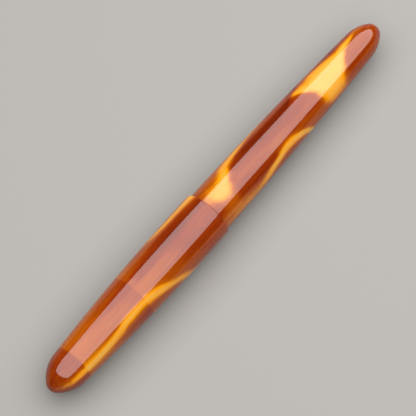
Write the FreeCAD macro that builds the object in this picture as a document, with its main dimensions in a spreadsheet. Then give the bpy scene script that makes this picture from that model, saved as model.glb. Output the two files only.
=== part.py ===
import FreeCAD, Part
import math
import os
import Sketcher

# A capped pen with a dipping nib of twisted glass, lying on its side.
#
# The pen lies along X, its cap towards -X, and rests on z = 0 on the widest band of the cap.
# Everything is laid out from the joint, the plane where the lip of the closed cap meets the
# rim of the barrel. The barrel's own frame runs from the joint towards +X. All other pieces
# have a frame that is turned half round, so their x grows from the joint towards the nib.

Vector = FreeCAD.Vector
AXIS = Vector(1, 0, 0)
UP = Vector(0, 0, 1)

doc = FreeCAD.newDocument("dip_pen")
sheet = doc.addObject("Spreadsheet::Sheet", "Sizes")


# ---- sizes -------------------------------------------------------------------------------

class Size:
    """A length worked out from the sheet: its value now, and the formula that keeps it true."""

    def __init__(self, value, formula):
        self.value = value
        self.formula = formula

    def combined(self, sign, other, value):
        return Size(value, f"({self.formula} {sign} {as_size(other).formula})")

    def __add__(self, other):
        return self.combined("+", other, self.value + as_size(other).value)

    def __sub__(self, other):
        return self.combined("-", other, self.value - as_size(other).value)

    def __mul__(self, other):
        return self.combined("*", other, self.value * as_size(other).value)

    def __truediv__(self, other):
        return self.combined("/", other, self.value / as_size(other).value)

    def __neg__(self):
        return Size(-self.value, f"(-1 * {self.formula})")


def as_size(number):
    return number if isinstance(number, Size) else Size(number, repr(number))


def driving(alias, value, meaning):
    """One row of the sheet: a plain number in column A, and what it is in column B."""
    driving.row += 1
    sheet.set(f"A{driving.row}", str(value))
    sheet.setAlias(f"A{driving.row}", alias)
    sheet.set(f"B{driving.row}", meaning)
    return Size(value, f"Sizes.{alias}")


driving.row = 0

pen_length = driving("pen_length", 140, "whole pen, capped")
cap_length = driving("cap_length", 66.3, "joint to the cap's closed end")
edge_round = driving("edge_round", 0.25, "radius broken on turned rims")
seat_gap = driving("seat_gap", 0.05, "gap left between faces that close on each other")
slip = driving("slip", 0.05, "radial clearance of a slip fit")
drill_point = driving("drill_point", 0.6, "depth of a drill's cone for each mm of its radius")

cap_radius = driving("cap_radius", 7.5, "cap, over its straight band")
cap_band = driving("cap_band", 8, "joint to the end of the straight band")
cap_side = driving("cap_side", 700, "radius of the long arc along the cap")
cap_shoulder = driving("cap_shoulder", 10.5, "radius of the arc into the cap's end")
cap_nose = driving("cap_nose", 3, "radius of the cap's end")

barrel_radius = driving("barrel_radius", 6.8, "barrel, at its rim")
barrel_crown = driving("barrel_crown", -11.5, "x where the barrel's long arc would be level")
barrel_side = driving("barrel_side", 1458, "radius of the long arc along the barrel")
barrel_shoulder = driving("barrel_shoulder", 12, "radius of the arc into the barrel's end")
barrel_nose = driving("barrel_nose", 3.1, "radius of the barrel's end")

crest_part = driving("crest_part", 0.15, "width of a thread's crest, in pitches")
root_part = driving("root_part", 0.25, "width of a thread's root, in pitches")
play_radial = driving("play_radial", 0.1, "radial clearance of a nut thread")
play_axial = driving("play_axial", 0.06, "axial clearance on each flank of a nut thread")
thread_stock = driving("thread_stock", 0.3, "material left on a blank where a thread is cut")
groove_depth = driving("groove_depth", 0.05, "depth of a run-out groove below a thread's root")
overrun = driving("overrun", 0.4, "how far a cutter runs past what it cuts")

cap_pitch = driving("cap_pitch", 0.8, "pitch of the cap's thread")
cap_starts = driving("cap_starts", 3, "starts of the cap's thread")
cap_root = driving("cap_root", 5.8, "root radius of the section's cap thread")
cap_crest = driving("cap_crest", 6.2, "crest radius of the section's cap thread")
cap_thread_from = driving("cap_thread_from", 2.2, "joint to the first full thread")
cap_thread_to = driving("cap_thread_to", 7.8, "joint to the last full thread")
runout = driving("runout", 0.6, "width of a run-out groove")

tenon_pitch = driving("tenon_pitch", 1.0, "pitch of the section's tenon")
tenon_root = driving("tenon_root", 4.45, "root radius of the tenon's thread")
tenon_crest = driving("tenon_crest", 4.85, "crest radius of the tenon's thread")
tenon_thread_from = driving("tenon_thread_from", 1.8, "joint to the tenon's first thread")
tenon_thread_to = driving("tenon_thread_to", 8.0, "joint to the tenon's last thread")
tenon_length = driving("tenon_length", 8.8, "joint to the end of the tenon")

barrel_bore = driving("barrel_bore", 4.5, "radius of the barrel's blind bore")
barrel_bore_depth = driving("barrel_bore_depth", 52, "depth of that bore")

mouth_depth = driving("mouth_depth", 1.7, "depth of the plain mouth of the cap")
liner_seat = driving("liner_seat", 30.6, "joint to the mouth of the inner cap")
liner_end = driving("liner_end", 54.7, "joint to the closed end of the inner cap")
liner_radius = driving("liner_radius", 5.05, "outer radius of the inner cap")
liner_wall = driving("liner_wall", 0.8, "wall of the inner cap")
liner_floor = driving("liner_floor", 1.2, "end wall of the inner cap")
cushion_depth = driving("cushion_depth", 2, "thickness of the cushion for the nib's tip")

grip_radius = driving("grip_radius", 5.55, "grip, next to the threads")
grip_lip = driving("grip_lip", 5.2, "grip, at its flared front lip")
grip_hollow = driving("grip_hollow", 78, "radius of the hollow that the fingers hold")
grip_end = driving("grip_end", 30.5, "joint to the front of the section")
lip_round = driving("lip_round", 0.9, "radius of the section's front edge")
section_bore = driving("section_bore", 3, "radius of the bore through the tenon")

ring_cord = driving("ring_cord", 0.9, "cord of the ring that seals the barrel")
ring_place = driving("ring_place", 0.62, "joint to the middle of that ring")
seal_cord = driving("seal_cord", 0.75, "cord of the ring that seals the nib")

collar_radius = driving("collar_radius", 3.5, "outer radius of the nib's collar")
collar_from = driving("collar_from", 16, "joint to the back of the collar")
collar_to = driving("collar_to", 28.4, "joint to the front of the collar")
slot_width = driving("slot_width", 0.9, "driver slot across the collar")
slot_depth = driving("slot_depth", 1.1, "depth of the driver slot")

shank_radius = driving("shank_radius", 2.6, "shank of the glass nib")
shank_from = driving("shank_from", 18, "joint to the back of the shank")
nib_radius = driving("nib_radius", 3.35, "glass nib, over the flutes")
nib_swell = driving("nib_swell", 34.2, "joint to the nib's widest point")
nib_end = driving("nib_end", 50.8, "joint to the nib's tip")
tip_radius = driving("tip_radius", 0.4, "radius just behind the tip")
nib_fall = driving("nib_fall", 0.9, "power of the cosine that the nib narrows by")
flute_count = driving("flute_count", 12, "flutes round the nib")
flute_depth = driving("flute_depth", 0.22, "depth of a flute, in nib radii")
flute_twist = driving("flute_twist", 150, "turn of the flutes from swell to tip, in degrees")

doc.recompute()

joint_x = cap_length - pen_length / 2
barrel_length = pen_length - cap_length
mouth_radius = cap_crest + play_radial + slip
cap_bore = cap_root + play_radial
ring_neck = tenon_root + play_radial


# ---- sketching and turning ---------------------------------------------------------------

SKETCH_X = -1                        # the sketch's own x axis; its point 1 is the origin
START, END, CENTRE = 1, 2, 3


def origin_plane(body, role):
    return [feature for feature in body.Origin.OriginFeatures if feature.Role == role][0]


def bind(sketch, kind, where, size):
    """Add a dimension whose value follows the sheet."""
    index = sketch.addConstraint(Sketcher.Constraint(kind, *where, size.value))
    sketch.setExpression(f"Constraints[{index}]", size.formula)


def pin_point(sketch, geometry, point, along, radius):
    """Hold a point at a distance along the pen and a radius from its axis."""
    if along is not None:
        bind(sketch, "DistanceX", (SKETCH_X, START, geometry, point), as_size(along))
    if radius == 0:
        sketch.addConstraint(Sketcher.Constraint("PointOnObject", geometry, point, SKETCH_X))
    else:
        bind(sketch, "DistanceY", (SKETCH_X, START, geometry, point), as_size(radius))


def arc_between(begin, finish, radius):
    """The short arc between two points. It bulges to the right of the way it is travelled
    where its radius is positive, and to the left where it is negative."""
    chord = finish - begin
    to_left = UP.cross(chord).normalize()
    rise = math.sqrt(radius ** 2 - (chord.Length / 2) ** 2)
    centre = (begin + finish) / 2 + to_left * math.copysign(rise, radius)
    circle = Part.Circle(centre, UP, abs(radius))
    ends = [circle.parameter(begin), circle.parameter(finish)]
    if radius < 0:
        ends.reverse()
    return Part.ArcOfCircle(circle, *ends)


def outline(sketch, corners, before=None):
    """Draw the closed outline through the corners, each (x, radius) or (x, radius, bend),
    where bend is the radius of the arc that leads on to the next corner. An outline that
    starts with a closed end is given that end's two open points as `before`."""
    points = [Vector(as_size(c[0]).value, as_size(c[1]).value, 0) for c in corners]
    first_point, last_point = points[0], points[0]
    if before:
        geometry, point = before[0]
        first_point = sketch.getPoint(geometry, point)
        geometry, point = before[1]
        last_point = sketch.getPoint(geometry, point)
        points = [first_point] + points
        corners = [()] + corners
    points.append(last_point)

    tail = before[0] if before else None
    for here, there, corner in zip(points, points[1:], corners):
        bend = corner[2] if len(corner) == 3 else None
        if bend is None:
            geometry = sketch.addGeometry(Part.LineSegment(here, there))
            head, next_tail = (geometry, START), (geometry, END)
        else:
            geometry = sketch.addGeometry(arc_between(here, there, bend.value))
            bind(sketch, "Radius", (geometry,), bend if bend.value > 0 else -bend)
            ends = ((geometry, START), (geometry, END))
            head, next_tail = ends if bend.value > 0 else ends[::-1]
        if tail:
            sketch.addConstraint(Sketcher.Constraint("Coincident", *tail, *head))
        else:
            first_head = head
        if corner:
            pin_point(sketch, *head, corner[0], corner[1])
        tail = next_tail
    close_on = before[1] if before else first_head
    sketch.addConstraint(Sketcher.Constraint("Coincident", *tail, *close_on))


def closed_end(sketch, length, side_from, radius, crown, side, shoulder, nose):
    """Draw the outside of a closed end as three arcs that run smoothly into each other: the
    nose, centred on the axis, the shoulder, and the long side. Returns the two open points."""
    nose_at = Vector(length.value - nose.value, 0, 0)
    reach = as_size(side_from).value - crown.value
    side_at = Vector(crown.value, radius.value - math.sqrt(side.value ** 2 - reach ** 2), 0)

    # The shoulder's centre stands at a known distance from the centres of both neighbours.
    gap = nose_at - side_at
    from_side = side.value - shoulder.value
    from_nose = shoulder.value - nose.value
    foot = (from_side ** 2 - from_nose ** 2 + gap.Length ** 2) / (2 * gap.Length)
    aside = UP.cross(gap).normalize() * math.sqrt(from_side ** 2 - foot ** 2)
    shoulder_at = side_at + gap * (foot / gap.Length) + aside

    nose_turn = math.atan2(-shoulder_at.y, nose_at.x - shoulder_at.x)
    side_turn = math.atan2(shoulder_at.y - side_at.y, shoulder_at.x - side_at.x)
    side_stop = math.atan2(radius.value - side_at.y, reach)

    def arc(centre, size, begin, finish):
        return sketch.addGeometry(Part.ArcOfCircle(Part.Circle(centre, UP, size.value), begin, finish))

    nose_arc = arc(nose_at, nose, 0, nose_turn)
    shoulder_arc = arc(shoulder_at, shoulder, nose_turn, side_turn)
    side_arc = arc(side_at, side, side_turn, side_stop)

    sketch.addConstraint(Sketcher.Constraint("Tangent", nose_arc, END, shoulder_arc, START))
    sketch.addConstraint(Sketcher.Constraint("Tangent", shoulder_arc, END, side_arc, START))
    sketch.addConstraint(Sketcher.Constraint("PointOnObject", nose_arc, CENTRE, SKETCH_X))
    pin_point(sketch, nose_arc, START, length, 0)
    pin_point(sketch, side_arc, END, side_from, radius)
    bind(sketch, "DistanceX", (SKETCH_X, START, side_arc, CENTRE), crown)
    for geometry, size in ((nose_arc, nose), (shoulder_arc, shoulder), (side_arc, side)):
        bind(sketch, "Radius", (geometry,), size)
    return (side_arc, END), (nose_arc, START)


def profile_sketch(name):
    """A new body with an empty sketch that holds the pen's axis and one side of the piece."""
    body = doc.addObject("PartDesign::Body", name)
    sketch = body.newObject("Sketcher::SketchObject", name + "_outline")
    sketch.AttachmentSupport = [(origin_plane(body, "XZ_Plane"), "")]
    sketch.MapMode = "FlatFace"
    return body, sketch


def turn(body, sketch):
    """Turn the sketch round the pen's axis, as on a lathe."""
    turned = body.newObject("PartDesign::Revolution", body.Name + "_turned")
    turned.Profile = sketch
    turned.ReferenceAxis = (sketch, ["H_Axis"])
    turned.Angle = 360
    return body


def turned_piece(name, corners):
    body, sketch = profile_sketch(name)
    outline(sketch, corners)
    return turn(body, sketch)


# ---- threads -----------------------------------------------------------------------------

def thread_core(root, crest, pitch, starts, begin, finish, crest_play=0.0, flank_play=0.0):
    """The solid inside a right-handed thread, from x = begin to x = finish. Its section is
    twisted along the axis, so threads made with the same pitch and starts are in mesh."""
    lead = pitch * starts
    root += crest_play
    crest += crest_play
    middle = (root + crest) / 2
    half_crest = math.pi * (crest_part.value * pitch + 2 * flank_play) / lead
    half_root = math.pi * (root_part.value * pitch - 2 * flank_play) / lead
    half_step = math.pi / starts

    def at(radius, angle):
        return Vector(radius * math.cos(angle), radius * math.sin(angle), 0)

    edges = []
    for start in range(starts):
        tooth = 2 * half_step * start
        off_crest = tooth + half_crest
        valley = tooth + half_step
        on_root, off_root = valley - half_root, valley + half_root
        on_crest = tooth + 2 * half_step - half_crest
        corners = [
            (at(crest, tooth - half_crest), at(crest, tooth), at(crest, off_crest)),
            (at(crest, off_crest), at(middle, (off_crest + on_root) / 2), at(root, on_root)),
            (at(root, on_root), at(root, valley), at(root, off_root)),
            (at(root, off_root), at(middle, (off_root + on_crest) / 2), at(crest, on_crest)),
        ]
        edges += [Part.Arc(*three).toShape() for three in corners]

    length = finish - begin
    spine = Part.Wire([Part.makeLine(Vector(), UP * length)])
    pipe = Part.BRepOffsetAPI.MakePipeShell(spine)
    pipe.setAuxiliarySpine(Part.Wire(Part.makeHelix(lead, length, crest)), True, 0)
    pipe.add(Part.Wire(edges))
    pipe.build()
    pipe.makeSolid()
    core = pipe.shape()
    core.rotate(Vector(), UP, 360 * begin / lead)
    core.translate(UP * begin)
    core.rotate(Vector(), Vector(0, 1, 0), 90)
    return core


def thread_waste(root, crest, pitch, starts, begin, finish):
    """What a die cuts off a blank: a sleeve round the core of the thread."""
    past = overrun.value
    sleeve = Part.makeCylinder(crest + past, finish - begin, AXIS * begin, AXIS)
    return sleeve.cut(thread_core(root, crest, pitch, starts, begin - past, finish + past))


def cutter(name, shape, placement=FreeCAD.Placement()):
    feature = doc.addObject("Part::Feature", name)
    feature.Shape = shape
    feature.Placement = placement * shape.Placement
    return feature


def cut(name, blank, tool):
    piece = doc.addObject("Part::Cut", name)
    piece.Base = blank
    piece.Tool = tool
    return piece


sub_parts = []


def add_piece(piece, label, turned_round=True, along=None):
    """Name a finished piece and put it on the pen's axis, `along` from the joint."""
    piece.Label = label
    half_round = FreeCAD.Rotation(UP, 180 if turned_round else 0)
    upright = FreeCAD.Rotation(Vector(0, 1, 0), 90 if along else 0)
    piece.Placement = FreeCAD.Placement(Vector(), half_round * upright)
    place = joint_x - along if along else joint_x
    piece.setExpression("Placement.Base.x", place.formula)
    piece.setExpression("Placement.Base.z", cap_radius.formula)
    sub_parts.append(piece)


# ---- cap: turned from a rod of cast resin, bored from its mouth ---------------------------

body, sketch = profile_sketch("cap_blank")
open_points = closed_end(sketch, cap_length, cap_band, cap_radius, cap_band,
                         cap_side, cap_shoulder, cap_nose)
cap_stock = cap_root - thread_stock
cap_nut_to = cap_thread_to + runout
cap_runout_to = cap_nut_to + runout
cap_runout = mouth_radius + slip
outline(sketch, [
    (seat_gap + edge_round, cap_radius, edge_round),
    (seat_gap, cap_radius - edge_round),
    (seat_gap, mouth_radius),
    (mouth_depth, mouth_radius),
    (mouth_depth, cap_stock),
    (cap_nut_to, cap_stock),
    (cap_nut_to, cap_runout),
    (cap_runout_to, cap_runout),
    (cap_runout_to, cap_bore),
    (liner_seat, cap_bore),
    (liner_seat, liner_radius + slip),
    (liner_end + slip, liner_radius + slip),
    (liner_end + slip + (liner_radius + slip) * drill_point, 0),
], before=open_points)
cap_blank = turn(body, sketch)

cap_tap = thread_core(cap_root.value, cap_crest.value, cap_pitch.value, cap_starts.value,
                      (mouth_depth - overrun).value, (cap_nut_to + overrun).value,
                      play_radial.value, play_axial.value)
add_piece(cut("cap", cap_blank, cutter("cap_tap", cap_tap)), "cap")


# ---- inner cap and cushion: the liner that closes on the section and keeps the nib safe ---

liner_bore = liner_radius - liner_wall
add_piece(turned_piece("inner_cap", [
    (liner_seat, liner_bore + edge_round),
    (liner_seat, liner_radius),
    (liner_end - edge_round, liner_radius, -edge_round),
    (liner_end, liner_radius - edge_round),
    (liner_end, 0),
    (liner_end - liner_floor, 0),
    (liner_end - liner_floor, liner_bore),
    (liner_seat + edge_round, liner_bore),
]), "inner_cap")

cushion_radius = liner_bore - slip
cushion_back = liner_end - liner_floor
add_piece(turned_piece("tip_cushion", [
    (cushion_back, 0),
    (cushion_back, cushion_radius),
    (cushion_back - cushion_depth + edge_round, cushion_radius),
    (cushion_back - cushion_depth, cushion_radius - edge_round),
    (cushion_back - cushion_depth, 0),
]), "tip_cushion")


# ---- section: the grip, with a thread for the cap and a tenon for the barrel --------------

body, sketch = profile_sketch("section_blank")
flange_to = cap_thread_from - runout
neck_to = tenon_thread_from - runout
outline(sketch, [
    (seat_gap, ring_neck),
    (seat_gap, cap_crest),
    (flange_to, cap_crest),
    (flange_to, cap_root - groove_depth),
    (cap_thread_from, cap_root - groove_depth),
    (cap_thread_from, cap_crest + thread_stock),
    (cap_thread_to, cap_crest + thread_stock),
    (cap_thread_to, grip_radius),
    (cap_thread_to + runout, grip_radius, grip_hollow),
    (grip_end - lip_round, grip_lip, -lip_round),
    (grip_end, grip_lip - lip_round),
    (grip_end, shank_radius + edge_round),
    (grip_end - edge_round, shank_radius + slip * 2),
    (grip_end - lip_round, shank_radius + slip * 2),
    (grip_end - lip_round, collar_radius + slip),
    (collar_from, collar_radius + slip),
    (collar_from, section_bore),
    (-tenon_length, section_bore),
    (-tenon_length, tenon_root - edge_round),
    (edge_round - tenon_length, tenon_root - groove_depth),
    (-tenon_thread_to, tenon_root - groove_depth),
    (-tenon_thread_to, tenon_crest + thread_stock),
    (-tenon_thread_from, tenon_crest + thread_stock),
    (-tenon_thread_from, tenon_root - groove_depth),
    (-neck_to, tenon_root - groove_depth),
    (-neck_to, ring_neck),
])
section_blank = turn(body, sketch)

cap_die = thread_waste(cap_root.value, cap_crest.value, cap_pitch.value, cap_starts.value,
                       (flange_to + overrun).value, (cap_thread_to + overrun).value)
tenon_die = thread_waste(tenon_root.value, tenon_crest.value, tenon_pitch.value, 1,
                         -(tenon_thread_to + overrun).value, (overrun - tenon_thread_from).value)
dies = cutter("section_dies", Part.makeCompound([cap_die, tenon_die]))
add_piece(cut("section", section_blank, dies), "section")


# ---- sealing rings -----------------------------------------------------------------------

def sealing_ring(label, inner, cord, along):
    ring = doc.addObject("Part::Torus", label)
    ring.setExpression("Radius1", (inner + cord / 2).formula)
    ring.setExpression("Radius2", (cord / 2).formula)
    add_piece(ring, label, along=along)


sealing_ring("section_o_ring", ring_neck + slip / 2, ring_cord, -ring_place)
sealing_ring("nib_seal_ring", shank_radius + slip / 2, seal_cord, collar_to + seal_cord / 2 + slip)


# ---- collar: the brass tube that holds the glass nib, slotted for a driver ----------------

collar = turned_piece("nib_collar", [
    (collar_from + slip, shank_radius + slip),
    (collar_from + slip, collar_radius - edge_round),
    (collar_from + slip + edge_round, collar_radius),
    (collar_to - edge_round, collar_radius),
    (collar_to, collar_radius - edge_round),
    (collar_to, shank_radius + slip),
])
slot = collar.newObject("Sketcher::SketchObject", "slot_outline")
slot.AttachmentSupport = [(origin_plane(collar, "YZ_Plane"), "")]
slot.MapMode = "FlatFace"
slot.setExpression("AttachmentOffset.Base.z", (collar_from + slip).formula)
across, high = (collar_radius + overrun).value, slot_width.value / 2
corners = [Vector(-across, -high, 0), Vector(across, -high, 0),
           Vector(across, high, 0), Vector(-across, high, 0)]
for number, corner in enumerate(corners):
    slot.addGeometry(Part.LineSegment(corner, corners[(number + 1) % 4]))
for number in range(4):
    slot.addConstraint(Sketcher.Constraint("Coincident", number, END, (number + 1) % 4, START))
    slot.addConstraint(Sketcher.Constraint("Vertical" if number % 2 else "Horizontal", number))
slot.addConstraint(Sketcher.Constraint("Symmetric", 0, START, 2, START, SKETCH_X, START))
bind(slot, "DistanceX", (0, START, 0, END), (collar_radius + overrun) * 2)
bind(slot, "DistanceY", (1, START, 1, END), slot_width)
pocket = collar.newObject("PartDesign::Pocket", "driver_slot")
pocket.Profile = slot
pocket.Reversed = True
pocket.setExpression("Length", slot_depth.formula)
add_piece(collar, "nib_collar")


# ---- glass nib: a plain shank that swells into a twisted, fluted point --------------------

def fluted_section(along, radius, depth, turned):
    """A closed line round the axis: round ridges that meet in narrow flutes, which are `depth`
    of the radius deep."""
    def at(reach, step):
        angle = turned + 2 * math.pi * step / flute_count.value
        return Vector(along, reach * math.cos(angle), reach * math.sin(angle))

    floor = radius * (1 - depth)
    ridges = [Part.Arc(at(floor, flute), at(radius, flute + 0.5), at(floor, flute + 1)).toShape()
              for flute in range(flute_count.value)]
    return Part.Wire(ridges)


def nib_stations(count):
    """Sections from the shank to the tip: along the pen, radius, depth of flute and turn."""
    shoulder = grip_end.value + edge_round.value
    swell, tip = nib_swell.value, nib_end.value
    twist = math.radians(flute_twist.value) / (tip - swell)
    rise = nib_radius.value - shank_radius.value
    stations = []
    for part in (0.02, 0.35, 0.7):
        along = shoulder + part * (swell - shoulder)
        radius = shank_radius.value + rise * math.sin(part * math.pi / 2)
        stations.append((along, radius, flute_depth.value * part, twist * (along - swell)))
    for step in range(count + 1):
        part = step / count
        along = swell + part * (tip - tip_radius.value - swell)
        fall = math.cos(part * math.pi / 2) ** nib_fall.value
        radius = tip_radius.value + (nib_radius.value - tip_radius.value) * fall
        stations.append((along, radius, flute_depth.value, twist * (along - swell)))
    return stations


fluted = Part.makeLoft([fluted_section(*station) for station in nib_stations(10)], True, False)
point = doc.addObject("Part::Feature", "nib_point")
point.Shape = fluted

shank = turned_piece("nib_shank", [
    (shank_from, 0),
    (shank_from, shank_radius - edge_round),
    (shank_from + edge_round, shank_radius),
    (grip_end + edge_round * 2, shank_radius),
    (grip_end + edge_round * 2, 0),
])
tip_ball = doc.addObject("Part::Sphere", "nib_tip")
tip_ball.setExpression("Radius", tip_radius.formula)
tip_ball.setExpression("Placement.Base.x", (nib_end - tip_radius).formula)
nib = doc.addObject("Part::MultiFuse", "glass_nib")
nib.Shapes = [shank, point, tip_ball]
add_piece(nib, "glass_nib")


# ---- barrel: turned from the same resin, with a blind bore --------------------------------

body, sketch = profile_sketch("barrel_blank")
open_points = closed_end(sketch, barrel_length, edge_round, barrel_radius, barrel_crown,
                         barrel_side, barrel_shoulder, barrel_nose)
barrel_mouth = ring_neck + ring_cord + slip * 2
barrel_mouth_depth = ring_place * 2 + slip
barrel_stock = tenon_root - thread_stock
barrel_nut_to = tenon_length + runout
barrel_runout = tenon_crest + play_radial + slip
barrel_runout_to = barrel_nut_to + runout
outline(sketch, [
    (0, barrel_radius - edge_round),
    (0, barrel_mouth),
    (barrel_mouth_depth, barrel_mouth),
    (barrel_mouth_depth, barrel_stock),
    (barrel_nut_to, barrel_stock),
    (barrel_nut_to, barrel_runout),
    (barrel_runout_to, barrel_runout),
    (barrel_runout_to, barrel_bore),
    (barrel_bore_depth, barrel_bore),
    (barrel_bore_depth + barrel_bore * drill_point, 0),
], before=open_points)
barrel_blank = turn(body, sketch)

# The tap is made in the section's frame, so that the two threads are in mesh.
tenon_tap = thread_core(tenon_root.value, tenon_crest.value, tenon_pitch.value, 1,
                        -(barrel_nut_to + overrun).value, (overrun - barrel_mouth_depth).value,
                        play_radial.value, play_axial.value)
facing_barrel = FreeCAD.Placement(Vector(), FreeCAD.Rotation(UP, 180))
add_piece(cut("barrel", barrel_blank, cutter("barrel_tap", tenon_tap, facing_barrel)),
          "barrel", turned_round=False)


# ---- check and write ---------------------------------------------------------------------

doc.recompute()
for thing in doc.Objects:
    if "Invalid" in thing.State or "Error" in thing.State:
        raise RuntimeError(f"{thing.Label} did not rebuild: {thing.State}")
os.makedirs("parts", exist_ok=True)
for piece in sub_parts:
    if piece.Shape.isNull() or not piece.Shape.isValid() or len(piece.Shape.Solids) != 1:
        raise RuntimeError(f"{piece.Label} is not one valid solid")
    piece.Shape.exportStep(f"parts/{piece.Label}.step")
    print(f"{piece.Label}: {piece.Shape.Volume:.1f} mm3, {len(piece.Shape.Faces)} faces")
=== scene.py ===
import math

import bpy
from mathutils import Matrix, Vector


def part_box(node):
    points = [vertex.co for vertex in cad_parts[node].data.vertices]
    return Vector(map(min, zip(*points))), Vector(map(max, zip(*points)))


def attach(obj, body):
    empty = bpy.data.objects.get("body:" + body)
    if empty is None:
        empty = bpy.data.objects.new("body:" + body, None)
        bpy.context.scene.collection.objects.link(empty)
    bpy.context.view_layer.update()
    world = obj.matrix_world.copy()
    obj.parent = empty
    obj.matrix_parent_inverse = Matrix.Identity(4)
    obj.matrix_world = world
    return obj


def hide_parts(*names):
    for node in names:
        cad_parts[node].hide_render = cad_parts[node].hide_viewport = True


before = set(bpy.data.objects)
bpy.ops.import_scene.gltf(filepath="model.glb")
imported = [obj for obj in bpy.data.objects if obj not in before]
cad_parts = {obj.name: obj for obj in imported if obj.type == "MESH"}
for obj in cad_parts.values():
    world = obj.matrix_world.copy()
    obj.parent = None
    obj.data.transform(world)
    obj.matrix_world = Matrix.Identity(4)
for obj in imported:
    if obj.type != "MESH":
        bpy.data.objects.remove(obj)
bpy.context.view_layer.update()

bpy.ops.object.select_all(action="DESELECT")

# ---- how the pen lies --------------------------------------------------------------------
# The pen lies along X. Everything is measured in metres from the joint, the plane where the
# cap's lip meets the barrel, and from the axis that all the turned pieces share.
mm = 0.001
cap_low, cap_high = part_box("cap")
barrel_low, barrel_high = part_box("barrel")
joint_x = barrel_low[0]
axis_z = (cap_low[2] + cap_high[2]) / 2
cap_length = joint_x - cap_low[0]
barrel_length = barrel_high[0] - joint_x
pen_length = cap_length + barrel_length
cap_radius = (cap_high[2] - cap_low[2]) / 2
barrel_radius = (barrel_high[2] - barrel_low[2]) / 2


# ---- barrel ------------------------------------------------------------------------------
# The rear two thirds of the grip: a cigar of cast resin, turned, bored from the joint and
# threaded for the section's tenon, then sanded through the grits and polished.

weld = 0.001 * mm
crease = math.radians(28)


def trace(name, points):
    """A new object that is one chain of edges through the points. It stays in edit mode."""
    bpy.ops.mesh.primitive_plane_add(size=mm, location=(0, 0, 0))
    chain = bpy.context.object
    chain.name = name
    bpy.ops.object.mode_set(mode="EDIT")
    bpy.ops.mesh.merge(type="CENTER")
    bpy.ops.transform.translate(value=points[0])
    for here, there in zip(points, points[1:]):
        bpy.ops.mesh.extrude_vertices_move(TRANSFORM_OT_translate={"value": there - here})
    return chain


def lathe(name, outline, sides=160):
    """Turn an outline of (x, radius) points round the pen's axis. An outline that begins and
    ends on the axis makes a closed piece, and one that doesn't is closed into a ring."""
    points = [Vector((x, 0, axis_z + radius)) for x, radius in outline]
    piece = trace(name, points)
    if max(outline[0][1], outline[-1][1]) > weld:
        bpy.ops.mesh.select_all(action="DESELECT")
        bpy.ops.object.mode_set(mode="OBJECT")
        for end in (0, len(points) - 1):
            piece.data.vertices[end].select = True
        bpy.ops.object.mode_set(mode="EDIT")
        bpy.ops.mesh.edge_face_add()
    bpy.ops.mesh.select_all(action="SELECT")
    bpy.ops.mesh.spin(steps=sides, angle=2 * math.pi, center=(0, 0, axis_z), axis=(1, 0, 0))
    bpy.ops.mesh.select_all(action="SELECT")
    bpy.ops.mesh.remove_doubles(threshold=weld)
    bpy.ops.mesh.delete_loose()
    bpy.ops.mesh.select_all(action="SELECT")
    bpy.ops.mesh.normals_make_consistent(inside=False)
    bpy.ops.object.mode_set(mode="OBJECT")
    bpy.ops.object.shade_smooth_by_angle(angle=crease)
    return piece


def bend(begin, end, radius, steps):
    """Points of an arc after `begin`, up to `end`. A positive radius bulges to the left of the
    way from one to the other, and a negative one to the right."""
    begin, end = Vector(begin), Vector(end)
    chord = end - begin
    across = Vector((chord.y, -chord.x)).normalized()
    rise = math.sqrt(radius ** 2 - (chord.length / 2) ** 2)
    centre = (begin + end) / 2 + across * math.copysign(rise, radius)
    first = begin - centre
    whole = first.angle_signed(end - centre)
    points = []
    for step in range(1, steps + 1):
        angle = -whole * step / steps
        spoke = Vector((first.x * math.cos(angle) - first.y * math.sin(angle),
                        first.x * math.sin(angle) + first.y * math.cos(angle)))
        points.append(tuple(centre + spoke))
    return points


def cigar_end(length, side_from, radius, crown, side, shoulder, nose):
    """Outline of a closed end, from its tip back to `side_from`, as distances from the joint.
    Three arcs run smoothly into each other: nose, shoulder and long side, which is widest at
    `crown` and has the given radius at `side_from`."""
    nose_at = Vector((length - nose, 0))
    side_at = Vector((crown, radius - math.sqrt(side ** 2 - (side_from - crown) ** 2)))
    gap = nose_at - side_at
    from_side, from_nose = side - shoulder, shoulder - nose
    foot = (from_side ** 2 - from_nose ** 2 + gap.length ** 2) / (2 * gap.length)
    aside = Vector((-gap.y, gap.x)).normalized() * math.sqrt(from_side ** 2 - foot ** 2)
    shoulder_at = side_at + gap.normalized() * foot + aside
    nose_turn = math.atan2(-shoulder_at.y, nose_at.x - shoulder_at.x)
    side_turn = math.atan2(shoulder_at.y - side_at.y, shoulder_at.x - side_at.x)
    side_stop = math.atan2(radius - side_at.y, side_from - crown)
    points = []
    for centre, size, begin, end, steps in (
            (nose_at, nose, 0, nose_turn, 14),
            (shoulder_at, shoulder, nose_turn, side_turn, 16),
            (side_at, side, side_turn, side_stop, 60)):
        for step in range(steps):
            angle = begin + (end - begin) * step / steps
            points.append((centre.x + size * math.cos(angle), centre.y + size * math.sin(angle)))
    points[0] = (length, 0)
    points.append((side_from, radius))
    return points


def towards_barrel(outline):
    """Turn distances behind the joint into places along X."""
    return [(joint_x + x, radius) for x, radius in outline]


def towards_cap(outline):
    """Turn distances in front of the joint, on the nib's side, into places along X."""
    return [(joint_x - x, radius) for x, radius in outline]


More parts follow.
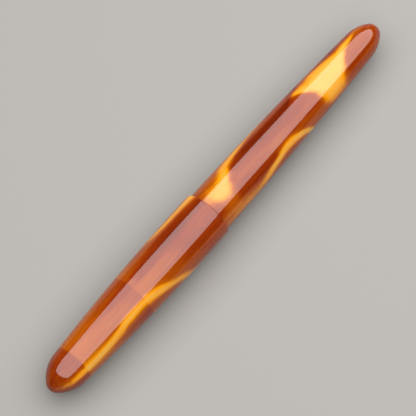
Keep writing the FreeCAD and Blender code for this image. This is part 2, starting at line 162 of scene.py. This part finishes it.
def thread(name, root, crest, pitch, starts, begin, end, back, play=0.0):
    """A ring with a right-handed thread, between two distances in front of the joint. Its other
    side is hidden in the piece, at `back` times the thread's radius. `play` is what a nut's
    grooves are wider by than the screw's crests, on each side."""
    lead = pitch * starts
    crest_flat, root_flat = 0.15 * pitch, 0.25 * pitch
    half_crest, half_root = crest_flat / 2 + play, root_flat / 2 - play
    top = math.ceil(end / lead + 1) * lead
    profile = []
    for start in range(starts + 1):
        middle = top + start * pitch
        profile += [(middle - half_crest, crest), (middle + half_crest, crest),
                    (middle + pitch / 2 - half_root, root), (middle + pitch / 2 + half_root, root)]
    piece = trace(name, [Vector((joint_x - s, 0, -radius)) for s, radius in profile[:4 * starts + 1]])
    bpy.ops.object.mode_set(mode="OBJECT")
    screw = piece.modifiers.new("turns", "SCREW")
    screw.axis, screw.angle, screw.screw_offset = "X", 2 * math.pi, lead
    screw.iterations = math.ceil((top - begin) / lead) + 2
    screw.steps = screw.render_steps = 80
    screw.use_merge_vertices = False
    bpy.ops.object.modifier_apply(modifier="turns")
    piece.location.z = axis_z
    bpy.ops.object.transform_apply(location=True)
    bpy.ops.object.mode_set(mode="EDIT")
    bpy.ops.mesh.select_mode(type="EDGE")
    bpy.ops.mesh.select_all(action="SELECT")
    bpy.ops.mesh.remove_doubles(threshold=weld)
    for cut, outward in ((begin, 1), (end, -1)):
        bpy.ops.mesh.select_all(action="SELECT")
        bpy.ops.mesh.bisect(plane_co=(joint_x - cut, 0, 0), plane_no=(outward, 0, 0),
                            clear_outer=True, threshold=weld / 10)
        bpy.ops.mesh.extrude_edges_move()
        bpy.ops.transform.resize(value=(1, back, back), center_override=(0, 0, axis_z))
    bpy.ops.mesh.select_all(action="DESELECT")
    bpy.ops.mesh.select_non_manifold(use_wire=False, use_multi_face=False, use_non_contiguous=False,
                                     use_verts=False)
    bpy.ops.mesh.bridge_edge_loops()
    bpy.ops.mesh.select_all(action="SELECT")
    bpy.ops.mesh.normals_make_consistent(inside=False)
    bpy.ops.mesh.select_mode(type="VERT")
    bpy.ops.object.mode_set(mode="OBJECT")
    bpy.ops.object.shade_smooth_by_angle(angle=crease)
    return piece


edge = 0.25 * mm
barrel_bore, barrel_bore_end, drill_point = 4.5 * mm, 52 * mm, 54.7 * mm
ring_seat, ring_seat_depth = 5.55 * mm, 1.29 * mm
tenon_pitch, nut_play = 1.0 * mm, 0.06 * mm
barrel_nut_bore, barrel_nut_groove, barrel_nut_end = 4.55 * mm, 4.95 * mm, 9.4 * mm
nut_seat, nut_seat_end = barrel_nut_groove + 0.1 * mm, 10 * mm
barrel_outside = cigar_end(barrel_length, edge, barrel_radius, crown=-11.5 * mm,
                           side=1458 * mm, shoulder=12 * mm, nose=3.1 * mm)
barrel = lathe("barrel_shell", towards_barrel(
    barrel_outside
    + bend((edge, barrel_radius), (0, barrel_radius - edge), -edge, 4)
    + [(0, ring_seat + edge / 2), (edge / 2, ring_seat),
       (ring_seat_depth, ring_seat), (ring_seat_depth, nut_seat),
       (nut_seat_end, nut_seat), (nut_seat_end, barrel_bore),
       (barrel_bore_end, barrel_bore), (drill_point, 0)]))
barrel_nut = thread("barrel_nut", barrel_nut_bore, barrel_nut_groove, tenon_pitch, 1,
                    -barrel_nut_end, -ring_seat_depth, 1.12, nut_play)


class Value:
    """One output in a material's node tree. Sums, differences and products of values add
    their own Math nodes."""

    def __init__(self, tree, socket):
        self.tree, self.socket = tree, socket

    def node(self, kind, settings={}, sockets={}, output=0):
        """Add a node: its settings first, then the value or the link of each socket."""
        node = self.tree.nodes.new(kind)
        for setting, choice in settings.items():
            if setting == "stops":
                stops = node.color_ramp.elements
                while len(stops) < len(choice):
                    stops.new(1)
                for stop, (place, colour) in zip(stops, choice):
                    stop.position, stop.color = place, (*colour, 1)
            elif setting == "points":
                curve = node.mapping.curves[0]
                while len(curve.points) < len(choice):
                    curve.points.new(1, 1)
                for point, place in zip(curve.points, choice):
                    point.location = place
                node.mapping.extend = "HORIZONTAL"
                node.mapping.update()
            else:
                setattr(node, setting, choice)
        for name, value in sockets.items():
            if isinstance(value, Value):
                self.tree.links.new(value.socket, node.inputs[name])
            else:
                node.inputs[name].default_value = value
        return Value(self.tree, node.outputs[output])

    def math(self, operation, first, second=0.0):
        return self.node("ShaderNodeMath", {"operation": operation}, {0: first, 1: second})

    def __add__(self, other):
        return self.math("ADD", self, other)

    def __sub__(self, other):
        return self.math("SUBTRACT", self, other)

    def __rsub__(self, other):
        return self.math("SUBTRACT", other, self)

    def __mul__(self, other):
        return self.math("MULTIPLY", self, other)

    def __truediv__(self, other):
        return self.math("DIVIDE", self, other)

    __radd__ = __add__
    __rmul__ = __mul__


def finish(name, **constants):
    """A new material with the given constants on its shader. Returns the material, the
    shader's sockets, and the place on the piece, from which its nodes are built."""
    material = bpy.data.materials.new(name)
    material.use_nodes = True
    tree = material.node_tree
    shader = tree.nodes["Principled BSDF"]
    for socket, value in constants.items():
        shader.inputs[socket.replace("_", " ")].default_value = value
    place = Value(tree, tree.nodes.new("ShaderNodeTexCoord").outputs["Object"])
    return material, shader.inputs, place


def paint(place, inputs, **values):
    """Link values to the shader's sockets."""
    for socket, value in values.items():
        place.tree.links.new(value.socket, inputs[socket.replace("_", " ")])


def glow_ribbon(place, along, up, side, stations):
    """One ribbon that wanders along the rod: a pearly gold band, which on the cap and barrel carries a
    painted sheen, or, taken away, a dark shadow. A station is its distance from the cap's end in mm, its
    angle round the axis and its half width in degrees, and its strength."""
    def curve(column, low, high):
        """One column of the stations, drawn over the pen's length."""
        points = [(s[0] * mm / pen_length, (s[column] - low) / (high - low)) for s in stations]
        raw = place.node("ShaderNodeFloatCurve", {"points": points}, {"Value": along})
        return raw * (high - low) + low

    angle = curve(1, -180, 180) * math.radians(1)
    width = curve(2, 0, 90) * math.radians(1)
    strength = curve(3, 0, 1)
    facing = place.math("SINE", angle) * side + place.math("COSINE", angle) * up
    spread = (facing - 1) * 2 / (width * width)
    return strength * place.math("EXPONENT", spread)


def amber(name, ribbons, shadows, tones=((0, 0.5), (1, 0.5)), rings=None):
    """Polished cast resin: a translucent red-brown ground with silky streaks, pearly gold ribbons and
    dark shadows. On the cap and barrel the ribbons also carry a painted sheen, brightest where they face
    the camera. Its tone changes along the pen where the wall behind it does.
    Rings are a nut's thread that shows through: pitch, starts, two ends and contrast."""
    material, inputs, place = finish(
        name, Roughness=0.45, Specular_IOR_Level=0.0, Coat_Weight=1.0, Coat_Roughness=0.02, Coat_IOR=1.5,
        Subsurface_Weight=0.25, Subsurface_Scale=0.0015, Subsurface_Radius=(1.0, 0.35, 0.08))
    centred = place.node("ShaderNodeMapping", {}, {"Vector": place, "Location": (0, 0, -axis_z)})
    warp = place.node("ShaderNodeTexNoise", {}, {
        "Vector": place.node("ShaderNodeMapping", {}, {"Vector": centred, "Scale": (60, 160, 160)}),
        "Scale": 1.0, "Detail": 3.0, "Roughness": 0.55}, "Color")
    warp = place.node("ShaderNodeVectorMath", {"operation": "SUBTRACT"}, {0: warp, 1: (0.5, 0.5, 0.5)})
    shift = place.node("ShaderNodeVectorMath", {"operation": "MULTIPLY"},
                       {0: warp, 1: (5 * mm, 1.6 * mm, 1.6 * mm)})
    moved = place.node("ShaderNodeVectorMath", {"operation": "ADD"}, {0: centred, 1: shift})
    true_x = place.node("ShaderNodeSeparateXYZ", {}, {"Vector": centred}, "X")
    x = place.node("ShaderNodeSeparateXYZ", {}, {"Vector": moved}, "X")
    y = place.node("ShaderNodeSeparateXYZ", {}, {"Vector": moved}, "Y")
    z = place.node("ShaderNodeSeparateXYZ", {}, {"Vector": moved}, "Z")
    radius = place.math("SQRT", y * y + z * z) + 0.01 * mm
    along = (x + pen_length / 2) / pen_length
    side, up = y / radius * -1, z / radius

    silk = place.node("ShaderNodeTexNoise", {}, {
        "Vector": place.node("ShaderNodeMapping", {}, {"Vector": moved, "Scale": (30, 1100, 1100)}),
        "Scale": 1.0, "Detail": 5.0, "Roughness": 0.6}, "Fac")
    clouds = place.node("ShaderNodeTexNoise", {}, {
        "Vector": place.node("ShaderNodeMapping", {}, {"Vector": centred, "Scale": (38, 110, 110)}),
        "Scale": 1.0, "Detail": 2.0}, "Fac")
    glow = clouds * 0.5 + silk * 0.34 - 0.1
    # Ribbons add gold, on the cap and barrel brightened by a painted sheen; shadows darken.
    for stations in ribbons:
        glow = glow + glow_ribbon(place, along, up, side, stations)
    for stations in shadows:
        glow = glow - glow_ribbon(place, along, up, side, stations)
    depth = place.node("ShaderNodeFloatCurve", {"points": tones}, {"Value": true_x / pen_length + 0.5})
    glow = glow + depth - 0.5
    if rings:
        pitch, starts, first, last, contrast = rings
        turned = place.math("ARCTAN2", y * -1, z * -1)
        groove = place.math("COSINE", (joint_x - true_x) * (2 * math.pi / pitch) - turned * starts)
        shown = place.math("GREATER_THAN", true_x, first) * place.math("LESS_THAN", true_x, last)
        glow = glow + groove * shown * contrast
    colour = place.node("ShaderNodeValToRGB", {"stops": [
        (0.0, (0.072, 0.005, 0)), (0.28, (0.14, 0.014, 0)), (0.5, (0.225, 0.046, 0.0002)),
        (0.72, (0.44, 0.16, 0.001)), (1.0, (0.43, 0.215, 0.03))]}, {"Fac": glow})
    paint(place, inputs, Base_Color=colour)
    return material


# The barrel's gold ribbons: partly the resin's own gold, partly a painted sheen placed at the angles
# where they face the camera.
barrel_gold_and_sheen = [
    [(62, -14, 12, 0.0), (68, -4, 26, 0.35), (71.5, 0, 30, 0.6), (74.5, -10, 26, 0.6),
     (77.5, -32, 18, 0.55), (81, -47, 12, 0.5), (88, -58, 10, 0.45), (98, -72, 12, 0.0)],
    [(60, 74, 26, 0.2), (72, 72, 24, 0.22), (81, 80, 16, 0.3), (86, 70, 12, 0.45),
     (91, 58, 11, 0.6), (96, 50, 11, 0.65), (100, 58, 11, 0.65), (103.4, 78, 12, 0.6),
     (106, 105, 12, 0.35), (112, 140, 15, 0.0)],
    [(106, -44, 9, 0.0), (108.5, -36, 12, 0.45), (111, -16, 30, 0.6), (113.5, 8, 46, 0.7),
     (117, 14, 60, 0.75), (119.5, 12, 58, 0.75), (121.5, 6, 46, 0.75), (123.5, -4, 32, 0.7),
     (127, -22, 14, 0.65), (130, -30, 11, 0.5), (132.5, -38, 10, 0.3), (136, -50, 12, 0.0)],
]
barrel_shadows = [
    [(78, -20, 12, 0.0), (84, -24, 14, 0.25), (104, -26, 14, 0.28), (110, -60, 12, 0.2),
     (122, -50, 9, 0.35), (128, -60, 9, 0.0)],
    [(74, 46, 12, 0.0), (80, 48, 12, 0.2), (88, 44, 10, 0.2), (92, 40, 10, 0.0)],
]
barrel_resin = amber("barrel_resin", barrel_gold_and_sheen, barrel_shadows,
                     rings=(tenon_pitch, 1, joint_x + 1.8 * mm, joint_x + 8.8 * mm, 0.008))
for piece in (barrel, barrel_nut):
    piece.data.materials.append(barrel_resin)
    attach(piece, "barrel")
    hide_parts("barrel")


# ---- cap ---------------------------------------------------------------------------------
# Turned from another rod of the same resin, a little fatter than the barrel, bored in steps
# for the inner cap and the grip, and threaded with three starts: under three turns free it.

cap_gap = 0.05 * mm
cap_band = 8 * mm
cap_mouth, cap_mouth_end = 6.35 * mm, 9.2 * mm
cap_bore, cap_drill_point = 5.9 * mm, 57.8 * mm
cap_pitch, cap_starts = 0.8 * mm, 3
cap_nut_from, cap_nut_to, cap_nut_groove = 1.7 * mm, 8.4 * mm, 6.3 * mm
liner_seat, liner_end, liner_radius = 30.6 * mm, 54.7 * mm, 5.05 * mm
cap_outside = cigar_end(cap_length, cap_band, cap_radius, crown=cap_band,
                        side=700 * mm, shoulder=10.5 * mm, nose=3 * mm)
cap = lathe("cap_shell", towards_cap(
    cap_outside
    + [(cap_gap + edge, cap_radius)]
    + bend((cap_gap + edge, cap_radius), (cap_gap, cap_radius - edge), -edge, 4)
    + [(cap_gap, cap_mouth + edge / 2), (cap_gap + edge / 2, cap_mouth),
       (cap_mouth_end, cap_mouth), (cap_mouth_end, cap_bore), (liner_seat, cap_bore),
       (liner_seat, liner_radius + cap_gap), (liner_end + cap_gap, liner_radius + cap_gap),
       (cap_drill_point, 0)]))
cap_nut = thread("cap_nut", cap_bore, cap_nut_groove, cap_pitch, cap_starts,
                 cap_nut_from, cap_nut_to, 1.09, nut_play)
# The cap's gold ribbons: partly the resin's own gold, partly a painted sheen placed at the angles where
# they face the camera.
cap_gold_and_sheen = [
    [(0, 50, 20, 0.1), (4, 54, 14, 0.35), (8, 53, 12, 0.55), (11.5, 54, 11, 0.6), (18, 53, 10, 0.6),
     (23, 50, 10, 0.55), (28, 43, 11, 0.6), (35, 43, 11, 0.6), (40, 52, 11, 0.55), (45, 68, 11, 0.5),
     (48, 79, 12, 0.4), (54, 105, 14, 0.3), (62, 130, 20, 0.1)],
    [(44, -66, 10, 0.0), (50, -58, 12, 0.3), (56, -52, 11, 0.45), (62, -50, 11, 0.55),
     (66, -49, 12, 0.6), (75, -48, 12, 0.5)],
]
cap_shadows = [
    [(36, -12, 12, 0.0), (42, -14, 14, 0.2), (66, -16, 13, 0.22), (70, -16, 12, 0.2)],
]
cap_tones = [(0, 0.4), (0.0735, 0.42), (0.0745, 0.62), (0.2, 0.56), (0.2475, 0.53),
             (0.2485, 0.64), (0.32, 0.58), (0.4, 0.5), (0.5, 0.52)]
cap_resin = amber("cap_resin", cap_gold_and_sheen, cap_shadows, cap_tones,
                  (cap_pitch, cap_starts, joint_x - cap_nut_to, joint_x - cap_nut_from, 0.02))
for piece in (cap, cap_nut):
    piece.data.materials.append(cap_resin)
    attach(piece, "cap")
    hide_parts("cap")


# ---- inner cap -----------------------------------------------------------------------------
# A cup moulded in dark brown plastic and pressed into the cap's stepped bore. It covers the
# nib, and with the cap closed its mouth stands 0.1 mm off the section's lip.

liner_bore = liner_radius - 0.8 * mm
liner_floor = liner_end - 1.2 * mm
outer_round, inner_round = 0.5 * mm, 0.3 * mm
gate_radius, gate_depth = 0.5 * mm, 0.15 * mm
inner_cap = lathe("inner_cup", towards_cap(
    [(liner_seat, liner_bore + inner_round), (liner_seat, liner_radius),
     (liner_end - outer_round, liner_radius)]
    + bend((liner_end - outer_round, liner_radius), (liner_end, liner_radius - outer_round),
           -outer_round, 5)
    + [(liner_end, gate_radius + 0.1 * mm), (liner_end - gate_depth, gate_radius),
       (liner_end - gate_depth, 0), (liner_floor, 0), (liner_floor, liner_bore - inner_round)]
    + bend((liner_floor, liner_bore - inner_round), (liner_floor - inner_round, liner_bore),
           inner_round, 4)
    + [(liner_seat + inner_round, liner_bore)]), 96)
material, inputs, place = finish("moulded_plastic", Specular_IOR_Level=0.45)
grain = place.node("ShaderNodeTexNoise", {}, {"Vector": place, "Scale": 2600.0, "Detail": 4.0}, "Fac")
flow = place.node("ShaderNodeTexNoise", {}, {
    "Vector": place.node("ShaderNodeMapping", {}, {"Vector": place, "Scale": (60, 400, 400)}),
    "Scale": 1.0, "Detail": 3.0}, "Fac")
paint(place, inputs,
      Base_Color=place.node("ShaderNodeValToRGB", {"stops": [
          (0.3, (0.045, 0.016, 0.007)), (0.7, (0.085, 0.032, 0.014))]}, {"Fac": flow}),
      Roughness=flow * 0.2 + grain * 0.1 + 0.28,
      Normal=place.node("ShaderNodeBump", {}, {"Strength": 0.25, "Distance": 0.02 * mm, "Height": grain}))
inner_cap.data.materials.append(material)
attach(inner_cap, "cap_liner")
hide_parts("inner_cap")


# ---- cushion -------------------------------------------------------------------------------
# A disc of soft silicone, pushed down to the floor of the inner cap, in case the nib's tip
# ever reaches that far. Its face is slightly dished and its rim rounded.

cushion_radius = liner_bore - 0.05 * mm
cushion_back = liner_floor - 0.05 * mm
cushion_face = cushion_back - 1.95 * mm
cushion_round, cushion_dish = 0.4 * mm, 0.35 * mm
cushion = lathe("silicone_disc", towards_cap(
    [(cushion_back, 0), (cushion_back, cushion_radius - cushion_round / 2),
     (cushion_back - cushion_round / 2, cushion_radius),
     (cushion_face + cushion_round, cushion_radius)]
    + bend((cushion_face + cushion_round, cushion_radius),
           (cushion_face, cushion_radius - cushion_round), cushion_round, 5)
    + bend((cushion_face, cushion_radius - cushion_round), (cushion_face + cushion_dish, 0),
           -24 * mm, 6)), 96)


def soft(name, colours, roughness):
    """Soft rubber: a fine moulded grain and a faint bloom that dulls it in patches."""
    material, inputs, place = finish(name, IOR=1.42, Subsurface_Weight=0.2, Subsurface_Scale=0.0006,
                                     Subsurface_Radius=(1.0, 0.9, 0.8))
    grain = place.node("ShaderNodeTexNoise", {}, {"Vector": place, "Scale": 3800.0, "Detail": 3.0}, "Fac")
    bloom = place.node("ShaderNodeTexNoise", {}, {"Vector": place, "Scale": 420.0, "Detail": 5.0}, "Fac")
    paint(place, inputs,
          Base_Color=place.node("ShaderNodeValToRGB", {"stops": [
              (0.35, colours[0]), (0.7, colours[1])]}, {"Fac": bloom}),
          Roughness=bloom * 0.25 + roughness,
          Normal=place.node("ShaderNodeBump", {}, {
              "Strength": 0.3, "Distance": 0.02 * mm, "Height": grain}))
    return material


silicone = soft("silicone", ((0.62, 0.6, 0.55), (0.72, 0.7, 0.65)), 0.35)
cushion.data.materials.append(silicone)
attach(cushion, "cap_liner")
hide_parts("tip_cushion")


# ---- section -------------------------------------------------------------------------------
# The grip: turned from the same resin, with a hollow for the fingers, a rounded lip, three
# threads for the cap next to its flange, and behind the flange a tenon for the barrel.

ease = 0.15 * mm
flange_face, flange_end, flange_radius = 0.05 * mm, 1.6 * mm, 6.2 * mm
screw_from, screw_to, screw_core = 2.2 * mm, 7.8 * mm, 5.7 * mm
grip_from, grip_to, lip_end = 8.4 * mm, 29.6 * mm, 30.5 * mm
grip_thick, grip_thin, grip_hollow = 5.55 * mm, 5.2 * mm, 78 * mm
lip_round = lip_end - grip_to
shank_hole, collar_seat, collar_seat_end, channel = 2.7 * mm, 3.55 * mm, 16 * mm, 3 * mm
tenon_neck, tenon_core = 4.55 * mm, 4.4 * mm
tenon_from, tenon_to = -1.2 * mm, -8.8 * mm
section = lathe("section_body", towards_cap(
    [(flange_face, tenon_neck), (flange_face, flange_radius - ease)]
    + bend((flange_face, flange_radius - ease), (flange_face + ease, flange_radius), ease, 3)
    + [(flange_end - ease, flange_radius), (flange_end, flange_radius - ease),
       (flange_end, screw_core + 0.05 * mm), (screw_from, screw_core + 0.05 * mm),
       (screw_from + 0.1 * mm, screw_core), (screw_to - 0.1 * mm, screw_core),
       (screw_to + 0.05 * mm, grip_thick), (grip_from, grip_thick)]
    + bend((grip_from, grip_thick), (grip_to, grip_thin), -grip_hollow, 40)
    + bend((grip_to, grip_thin), (lip_end, grip_thin - lip_round), lip_round, 10)
    + [(lip_end, shank_hole + ease), (lip_end - edge, shank_hole), (grip_to, shank_hole),
       (grip_to, collar_seat), (collar_seat_end, collar_seat), (collar_seat_end, channel),
       (tenon_to, channel), (tenon_to, tenon_core - 0.2 * mm), (tenon_to + edge, tenon_core),
       (tenon_from, tenon_core), (tenon_from, tenon_neck)]))
cap_screw = thread("cap_screw", 5.8 * mm, flange_radius, cap_pitch, cap_starts,
                   screw_from, screw_to, 0.9)
tenon_screw = thread("tenon_screw", 4.45 * mm, 4.85 * mm, tenon_pitch, 1, -8.0 * mm, -1.8 * mm, 0.88)
section_ribbons = [
    [(34, -10, 26, 0.35), (42, 12, 22, 0.55), (50, 38, 18, 0.6), (58, 60, 17, 0.55), (68, 95, 20, 0.2)],
    [(34, 160, 24, 0.3), (44, 130, 20, 0.5), (54, 118, 18, 0.55), (64, 150, 20, 0.2)],
    [(36, -100, 20, 0.2), (46, -85, 16, 0.5), (56, -60, 15, 0.5), (66, -50, 18, 0.2)],
]
section_resin = amber("section_resin", section_ribbons, barrel_shadows)
for piece in (section, cap_screw, tenon_screw):
    piece.data.materials.append(section_resin)
    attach(piece, "section")
    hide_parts("section")


# ---- sealing rings -------------------------------------------------------------------------
# Two moulded rings. A black one is squeezed between the section's flange and the barrel's
# mouth, and a clear one between the nib's collar and the front wall of the section.

def sealing_ring(name, node, body, material):
    """A moulded ring, sized from its node's box, with the fine flash of its mould's seam."""
    low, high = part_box(node)
    cord = (high[0] - low[0]) / 2
    bpy.ops.mesh.primitive_torus_add(
        location=((low[0] + high[0]) / 2, 0, axis_z), rotation=(0, math.pi / 2, 0),
        major_radius=(high[2] - low[2]) / 2 - cord, minor_radius=cord, major_segments=96,
        minor_segments=28)
    ring = bpy.context.object
    ring.name = name
    bpy.ops.object.transform_apply(location=True, rotation=True)
    middle, centre = (low[0] + high[0]) / 2, (high[2] - low[2]) / 2 - cord
    for vertex in ring.data.vertices:
        away = vertex.co.x - middle
        if abs(away) < 0.02 * cord:
            reach = math.hypot(vertex.co.y, vertex.co.z - axis_z)
            flash = 1 + math.copysign(0.02 * mm, reach - centre) / reach
            vertex.co.y *= flash
            vertex.co.z = axis_z + (vertex.co.z - axis_z) * flash
    bpy.ops.object.shade_smooth()
    ring.data.materials.append(material)
    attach(ring, body)
    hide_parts(node)


sealing_ring("black_ring", "section_o_ring", "barrel_seal",
             soft("nitrile", ((0.012, 0.012, 0.013), (0.028, 0.027, 0.027)), 0.4))
sealing_ring("clear_ring", "nib_seal_ring", "section", silicone)


# ---- nib's collar --------------------------------------------------------------------------
# A tube turned from brass bar that the glass shank is cemented into. It fills a pocket in
# the section, and a slot for a driver runs across its rear face.

collar_radius, collar_bore, bevel = 3.5 * mm, 2.65 * mm, 0.1 * mm
collar_from, collar_to = collar_seat_end + 0.05 * mm, 28.4 * mm
groove_from, groove_to = 20 * mm, 20.7 * mm
slot_depth, slot_width = 1.1 * mm, 0.9 * mm
collar = lathe("brass_collar", towards_cap(
    [(collar_from, collar_bore + bevel), (collar_from, collar_radius - 2 * bevel),
     (collar_from + 2 * bevel, collar_radius), (groove_from, collar_radius),
     (groove_from + bevel, collar_radius - bevel), (groove_to - bevel, collar_radius - bevel),
     (groove_to, collar_radius), (collar_to - 2 * bevel, collar_radius),
     (collar_to, collar_radius - 2 * bevel), (collar_to, collar_bore + bevel),
     (collar_to - bevel, collar_bore), (collar_from + bevel, collar_bore)]), 96)
bpy.ops.mesh.primitive_cube_add(size=1, location=(joint_x - collar_from, 0, axis_z))
driver = bpy.context.object
driver.scale = (2 * slot_depth, 3 * collar_radius, slot_width)
bpy.context.view_layer.objects.active = collar
slot_cut = collar.modifiers.new("driver_slot", "BOOLEAN")
slot_cut.operation, slot_cut.object, slot_cut.solver = "DIFFERENCE", driver, "EXACT"
bpy.ops.object.select_all(action="DESELECT")
collar.select_set(True)
bpy.ops.object.modifier_apply(modifier="driver_slot")
bpy.ops.object.shade_smooth_by_angle(angle=crease)
bpy.data.objects.remove(driver)
material, inputs, place = finish("turned_brass", Metallic=1.0)
x = place.node("ShaderNodeSeparateXYZ", {}, {"Vector": place}, "X")
tool_feed = 0.09 * mm
ridges = place.math("SINE", x * (2 * math.pi / tool_feed))
tarnish = place.node("ShaderNodeTexNoise", {}, {"Vector": place, "Scale": 500.0, "Detail": 6.0}, "Fac")
paint(place, inputs,
      Base_Color=place.node("ShaderNodeValToRGB", {"stops": [
          (0.35, (0.48, 0.28, 0.075)), (0.6, (0.72, 0.49, 0.17))]}, {"Fac": tarnish}),
      Roughness=tarnish * 0.3 + 0.14,
      Normal=place.node("ShaderNodeBump", {}, {
          "Strength": 0.35, "Distance": 0.01 * mm, "Height": ridges + tarnish * 0.6}))
collar.data.materials.append(material)
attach(collar, "section")
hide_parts("nib_collar")


# ---- glass nib -----------------------------------------------------------------------------
# A drawn rod of clear glass, pressed into twelve flutes while it was soft, twisted and pulled
# to a point. The flutes hold the ink. Its tip and its rear end are melted round.

shank_from, shoulder, swell, tip = 18 * mm, 30.75 * mm, 34.2 * mm, 50.8 * mm
shank_radius, nib_radius, tip_radius, rear_round = 2.6 * mm, 3.35 * mm, 0.4 * mm, 0.5 * mm
flutes, flute_depth = 12, 0.22
twist = math.radians(150) / (tip - swell)


def melted(depth, radius):
    """Height of a round end of the given radius, `depth` past where its rounding begins."""
    return math.sqrt(max(radius ** 2 - depth ** 2, 0))


bpy.ops.mesh.primitive_circle_add(vertices=flutes * 12, radius=shank_radius, fill_type="NOTHING",
                                  location=(joint_x - shank_from, 0, axis_z),
                                  rotation=(0, math.pi / 2, 0))
nib = bpy.context.object
nib.name = "drawn_nib"
bpy.ops.object.transform_apply(location=True, rotation=True)
bpy.ops.object.mode_set(mode="EDIT")
bpy.ops.mesh.select_all(action="SELECT")
reached = shank_from
spans = ((shank_from + rear_round, 5), (shoulder, 4), (swell, 14), (tip - tip_radius, 60), (tip, 6))
for span_end, steps in spans:
    step = (span_end - reached) / steps
    for _ in range(steps):
        bpy.ops.mesh.extrude_region_move(TRANSFORM_OT_translate={"value": (-step, 0, 0)})
    reached = span_end
bpy.ops.object.mode_set(mode="OBJECT")
for vertex in nib.data.vertices:
    s = joint_x - vertex.co.x
    angle = math.atan2(vertex.co.z - axis_z, -vertex.co.y)
    rise = min(max((s - shoulder) / (swell - shoulder), 0), 1)
    fall = min(max((s - swell) / (tip - tip_radius - swell), 0), 1)
    radius = shank_radius + (nib_radius - shank_radius) * math.sin(rise * math.pi / 2)
    if fall > 0:
        narrowing = max(math.cos(fall * math.pi / 2), 0) ** 0.9
        radius = tip_radius + (nib_radius - tip_radius) * narrowing
    if s > tip - tip_radius:
        radius = melted(s - tip + tip_radius, tip_radius)
    if s < shank_from + rear_round:
        radius -= rear_round - melted(shank_from + rear_round - s, rear_round)
    ridge = angle * flutes / (2 * math.pi) % 1
    radius *= 1 - flute_depth * rise * (2 * ridge - 1) ** 2
    angle += twist * (max(s, shoulder) - swell)
    vertex.co.y = -radius * math.cos(angle)
    vertex.co.z = axis_z + radius * math.sin(angle)
bpy.ops.object.mode_set(mode="EDIT")
bpy.ops.mesh.select_all(action="SELECT")
bpy.ops.mesh.remove_doubles(threshold=weld)
bpy.ops.mesh.select_all(action="DESELECT")
bpy.ops.mesh.select_non_manifold(use_wire=False, use_multi_face=False, use_non_contiguous=False,
                                 use_verts=False)
bpy.ops.mesh.edge_face_add()
bpy.ops.mesh.select_all(action="SELECT")
bpy.ops.mesh.normals_make_consistent(inside=False)
bpy.ops.object.mode_set(mode="OBJECT")
bpy.ops.object.shade_smooth_by_angle(angle=math.radians(40))
material, inputs, place = finish("clear_glass", Base_Color=(0.9, 0.97, 0.98, 1), IOR=1.5,
                                 Transmission_Weight=1.0)
ripple = place.node("ShaderNodeTexNoise", {}, {
    "Vector": place.node("ShaderNodeMapping", {}, {"Vector": place, "Scale": (180, 420, 420)}),
    "Scale": 1.0, "Detail": 2.0}, "Fac")
haze = place.node("ShaderNodeTexNoise", {}, {"Vector": place, "Scale": 700.0, "Detail": 4.0}, "Fac")
paint(place, inputs,
      Roughness=haze * 0.04,
      Normal=place.node("ShaderNodeBump", {}, {
          "Strength": 0.2, "Distance": 0.05 * mm, "Height": ripple}))
nib.data.materials.append(material)
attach(nib, "section")
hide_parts("glass_nib")


# ---- camera, light and floor ---------------------------------------------------------------
# The closed pen is seen from well above and a little from the cap's end, through a long lens.
# It lies on a plain pale floor under one wide soft box, which is mirrored along the pen's top.

azimuth, elevation, distance = math.radians(-50.1), math.radians(68.5), 0.9
back = Vector((math.sin(azimuth) * math.cos(elevation),
               -math.cos(azimuth) * math.cos(elevation), math.sin(elevation)))
middle = Vector((0, 0, axis_z))
bpy.ops.object.camera_add(location=middle + back * distance,
                          rotation=back.to_track_quat("Z", "Y").to_euler())
camera = bpy.context.object
camera.data.lens = 283
camera.data.sensor_width = 36
camera.data.shift_x = -0.0203
camera.data.shift_y = -0.0084
bpy.context.scene.camera = camera
bpy.context.scene.view_settings.view_transform = "Standard"

bpy.ops.mesh.primitive_plane_add(size=6, location=(0, 0, 0))
floor = bpy.context.object
floor.name = "floor"
floor_finish = bpy.data.materials.new("pale_floor")
floor_finish.use_nodes = True
matt = floor_finish.node_tree.nodes["Principled BSDF"].inputs
matt["Base Color"].default_value = (0.15, 0.142, 0.132, 1)
matt["Roughness"].default_value = 0.7
floor.data.materials.append(floor_finish)

reach = 0.5
sky_width, sky_height, radiance = 4.34 * reach, 2.3 * reach, 4.3
bpy.ops.object.light_add(type="AREA", location=(1.1 * reach, -0.06 * reach, axis_z + reach))
sky = bpy.context.object
sky.name = "sky"
sky.data.shape = "RECTANGLE"
sky.data.size, sky.data.size_y = sky_width, sky_height
sky.data.energy = radiance * math.pi * sky_width * sky_height
world = bpy.data.worlds.new("room")
bpy.context.scene.world = world
world.use_nodes = True
room_light = world.node_tree.nodes["Background"].inputs
room_light["Color"].default_value = (1, 0.85, 0.62, 1)
room_light["Strength"].default_value = 0.1
